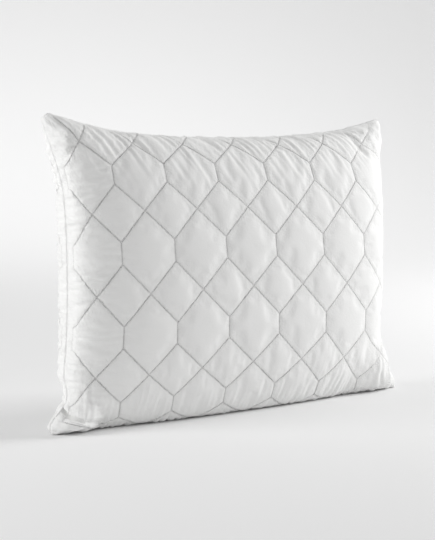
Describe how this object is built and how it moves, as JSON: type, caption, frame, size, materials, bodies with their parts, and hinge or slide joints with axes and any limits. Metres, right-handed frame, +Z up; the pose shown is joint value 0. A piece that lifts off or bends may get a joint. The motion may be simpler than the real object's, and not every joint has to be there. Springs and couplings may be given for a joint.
{
  "type": "bed pillow",
  "caption": "Quilted bed pillow with pointed corners: two hexagon-quilted panels sewn round a fibre fill, with a coil zip on one short side.",
  "frame": {"origin": "centre of the bounding box at floor level, under the pillow as it stands on its long edge", "axes": "+X along the width towards the zipped short side, -Y out of the front panel, +Z up"},
  "size_m": [0.66, 0.1656, 0.478],
  "materials": {
    "cover_cotton": "white cotton percale, fine plain weave, matt with a soft sheen",
    "wadding": "thin white polyester wadding, matt and fluffy",
    "lining": "white spunbonded lining, matt",
    "fibre": "loose white hollow polyester fibre",
    "thread": "white polyester sewing thread, slight lustre",
    "zip_tape": "white woven polyester tape, fine herringbone",
    "zip_coil": "white nylon monofilament, semi-gloss",
    "slider_metal": "die-cast zinc, white enamel",
    "label_satin": "blank white woven satin"
  },
  "bodies": {
    "pillow": {"front_cover": "cover_cotton", "back_cover": "cover_cotton", "front_wadding": "wadding", "back_wadding": "wadding", "front_lining": "lining", "back_lining": "lining", "fibre_fill": "fibre", "front_quilting_thread": "thread", "back_quilting_thread": "thread", "seam_thread": "thread", "overlock_thread": "thread", "zip_stitching_front": "thread", "zip_stitching_back": "thread", "zip_tape_front": "zip_tape", "zip_tape_back": "zip_tape", "zip_coil_front": "zip_coil", "zip_coil_back": "zip_coil", "zip_top_stop_front": "zip_coil", "zip_top_stop_back": "zip_coil", "zip_bottom_stop": "zip_coil", "care_label": "label_satin"},
    "slider": {"zip_slider": "slider_metal"},
    "puller": {"zip_puller": "slider_metal"}
  },
  "joints": [
    {"name": "zip_slide", "type": "slide", "parent": "pillow", "child": "slider", "axis": [0, 0, 1], "range_m": [-0.2744, 0]},
    {"name": "puller_hinge", "type": "hinge", "parent": "slider", "child": "puller", "pos_m": [0.3201, 0, 0.39696], "axis": [0, -1, 0], "range_deg": [0, 175]}
  ]
}
